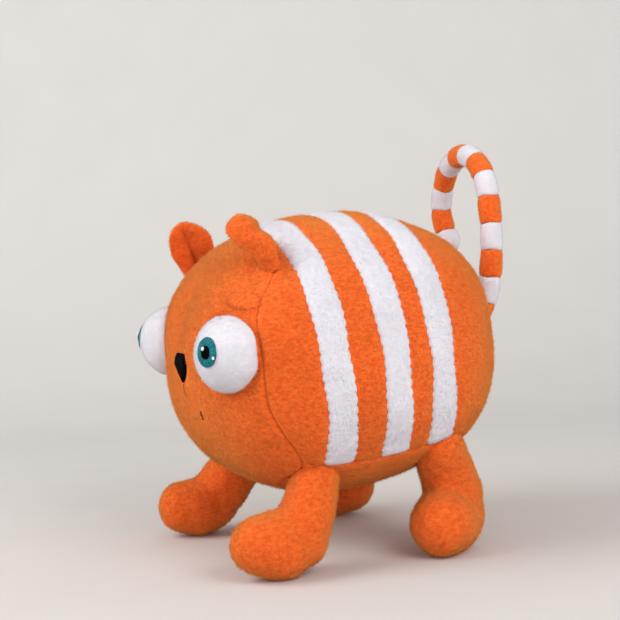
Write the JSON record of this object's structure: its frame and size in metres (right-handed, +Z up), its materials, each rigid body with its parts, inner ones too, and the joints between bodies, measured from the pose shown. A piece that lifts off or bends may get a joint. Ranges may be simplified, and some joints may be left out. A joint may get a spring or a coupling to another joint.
{
  "type": "cube plush cat",
  "caption": "Soft toy cat with a rounded cube body, striped back, embroidered face, sewn ears and legs and a wired banded tail that stands up and curls over.",
  "frame": {"origin": "middle of the box that holds the toy, on the surface it stands on", "axes": "+Z up, -Y the way the face looks, +X the cat's left side"},
  "size_m": [0.093, 0.1114, 0.1161],
  "materials": {
    "orange_fleece": "short napped fleece, matte",
    "white_fleece": "short napped fleece, matte",
    "fibre_fill": "loose polyester filling",
    "teal_thread": "satin stitch, slight lustre",
    "black_thread": "satin stitch, slight lustre",
    "white_thread": "satin stitch, slight lustre",
    "brown_thread": "sewing thread",
    "wire_core": "soft wire wrapped in felt"
  },
  "bodies": {
    "body": {"face_panel": "orange_fleece", "saddle_panel": "orange_fleece", "belly_panel": "orange_fleece", "rump_panel": "orange_fleece", "body_stuffing": "fibre_fill", "stripe_front": "white_fleece", "stripe_middle": "white_fleece", "stripe_rear": "white_fleece", "eye_left_cover": "white_fleece", "eye_left_stuffing": "fibre_fill", "iris_left": "teal_thread", "pupil_left": "black_thread", "glint_left_upper": "white_thread", "glint_left_lower": "white_thread", "eye_right_cover": "white_fleece", "eye_right_stuffing": "fibre_fill", "iris_right": "teal_thread", "pupil_right": "black_thread", "glint_right_upper": "white_thread", "glint_right_lower": "white_thread", "nose": "black_thread", "philtrum_stitch": "brown_thread", "mouth_stitch_left": "brown_thread", "brow_left": "orange_fleece", "mouth_stitch_right": "brown_thread", "brow_right": "orange_fleece"},
    "ear_left": {"ear_left_front": "orange_fleece", "ear_left_back": "orange_fleece"},
    "ear_right": {"ear_right_front": "orange_fleece", "ear_right_back": "orange_fleece"},
    "leg_front_left": {"leg_front_left_outer": "orange_fleece", "leg_front_left_inner": "orange_fleece", "leg_front_left_stuffing": "fibre_fill"},
    "leg_front_right": {"leg_front_right_outer": "orange_fleece", "leg_front_right_inner": "orange_fleece", "leg_front_right_stuffing": "fibre_fill"},
    "leg_rear_left": {"leg_rear_left_outer": "orange_fleece", "leg_rear_left_inner": "orange_fleece", "leg_rear_left_stuffing": "fibre_fill"},
    "leg_rear_right": {"leg_rear_right_outer": "orange_fleece", "leg_rear_right_inner": "orange_fleece", "leg_rear_right_stuffing": "fibre_fill"},
    "tail_lower": {"tail_band_01": "orange_fleece", "tail_band_02": "white_fleece", "tail_band_03": "orange_fleece", "tail_band_04": "white_fleece", "tail_band_05": "orange_fleece", "tail_wire_lower": "wire_core"},
    "tail_arch": {"tail_band_06": "white_fleece", "tail_band_07": "orange_fleece", "tail_band_08": "white_fleece", "tail_band_09": "orange_fleece", "tail_band_10": "white_fleece", "tail_wire_arch": "wire_core"},
    "tail_tip": {"tail_band_11": "orange_fleece", "tail_band_12": "white_fleece", "tail_band_13": "orange_fleece", "tail_band_14": "white_fleece", "tail_wire_tip": "wire_core"}
  },
  "joints": [
    {"name": "front_left_leg_swing", "type": "hinge", "parent": "body", "child": "leg_front_left", "pos_m": [0.02918, -0.02332, 0.02366], "axis": [1, 0, 0], "range_deg": [-12, 12], "stiffness_Nm_per_rad": 0.1},
    {"name": "front_right_leg_swing", "type": "hinge", "parent": "body", "child": "leg_front_right", "pos_m": [-0.02682, -0.02332, 0.02366], "axis": [1, 0, 0], "range_deg": [-12, 12], "stiffness_Nm_per_rad": 0.1},
    {"name": "rear_left_leg_swing", "type": "hinge", "parent": "body", "child": "leg_rear_left", "pos_m": [0.02918, 0.01402, 0.02719], "axis": [1, 0, 0], "range_deg": [-12, 12], "stiffness_Nm_per_rad": 0.1},
    {"name": "rear_right_leg_swing", "type": "hinge", "parent": "body", "child": "leg_rear_right", "pos_m": [-0.02682, 0.01402, 0.02719], "axis": [1, 0, 0], "range_deg": [-12, 12], "stiffness_Nm_per_rad": 0.1},
    {"name": "left_ear_fold", "type": "hinge", "parent": "body", "child": "ear_left", "pos_m": [0.02968, -0.03494, 0.07965], "axis": [0.3978, -0.8936, -0.2079], "range_deg": [-15, 15], "stiffness_Nm_per_rad": 0.002},
    {"name": "right_ear_fold", "type": "hinge", "parent": "body", "child": "ear_right", "pos_m": [-0.02732, -0.03494, 0.07965], "axis": [0.3978, 0.8936, 0.2079], "range_deg": [-15, 15], "stiffness_Nm_per_rad": 0.002},
    {"name": "tail_base", "type": "hinge", "parent": "body", "child": "tail_lower", "pos_m": [0.00118, 0.036, 0.06202], "axis": [1, 0, 0], "range_deg": [-15, 15]},
    {"name": "tail_bend", "type": "hinge", "parent": "tail_lower", "child": "tail_arch", "pos_m": [0.00514, 0.0475, 0.09546], "axis": [0.0872, 0.9962, 0], "range_deg": [-20, 20]},
    {"name": "tail_curl", "type": "hinge", "parent": "tail_arch", "child": "tail_tip", "pos_m": [-0.02031, 0.04973, 0.11053], "axis": [0.0872, 0.9962, 0], "range_deg": [-25, 25]}
  ]
}
